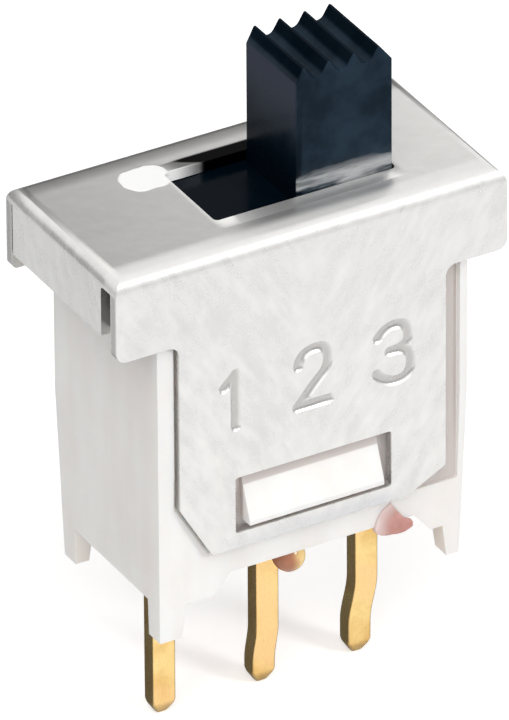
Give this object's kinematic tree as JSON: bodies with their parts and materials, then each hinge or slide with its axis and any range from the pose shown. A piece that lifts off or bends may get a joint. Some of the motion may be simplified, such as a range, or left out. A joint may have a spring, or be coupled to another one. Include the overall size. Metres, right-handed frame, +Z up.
{
  "type": "slide switch",
  "caption": "Subminiature slide switch with a ridged actuator in a folded metal cover on a moulded case, with terminals in line for a printed circuit board.",
  "frame": {"origin": "middle of the board seat, under the centre terminal's place in the row", "axes": "+X along the travel, towards the end at which the actuator stands; -Y the front, the side that the picture shows; +Z up, out of the board"},
  "size_m": [0.0098, 0.0052, 0.0161],
  "materials": {
    "cover_steel": "bright rolled stainless steel",
    "case_nylon": "natural white moulded nylon",
    "actuator_plastic": "glossy black moulded plastic",
    "plunger_nylon": "natural white moulded nylon",
    "spring_steel": "drawn spring wire",
    "contact_gold": "gold plated copper alloy",
    "terminal_gold": "gold plated copper alloy",
    "seal_resin": "cured red epoxy resin"
  },
  "bodies": {
    "base": {"frame_cover": "cover_steel", "case": "case_nylon", "terminal_left": "terminal_gold", "terminal_centre": "terminal_gold", "terminal_right": "terminal_gold", "epoxy_seal": "seal_resin"},
    "slider": {"actuator": "actuator_plastic", "plunger_spring": "spring_steel"},
    "plunger": {"plunger": "plunger_nylon"},
    "rocker": {"rocker_contact": "contact_gold"}
  },
  "joints": [
    {"name": "slider_travel", "type": "slide", "parent": "base", "child": "slider", "axis": [1, 0, 0], "range_m": [-0.0019, 0]},
    {"name": "plunger_press", "type": "slide", "parent": "slider", "child": "plunger", "axis": [0, 0, 1], "range_m": [0, 0.0002], "stiffness_N_per_m": 300, "deforming": ["plunger_spring"]},
    {"name": "rocker_tilt", "type": "hinge", "parent": "base", "child": "rocker", "pos_m": [0, 0, 0.0049], "axis": [0, 1, 0], "range_deg": [-16.1, 0]}
  ],
  "couplings": [
    {"joint": "rocker_tilt", "follows": "slider_travel", "rad_per_m": 146.97}
  ]
}
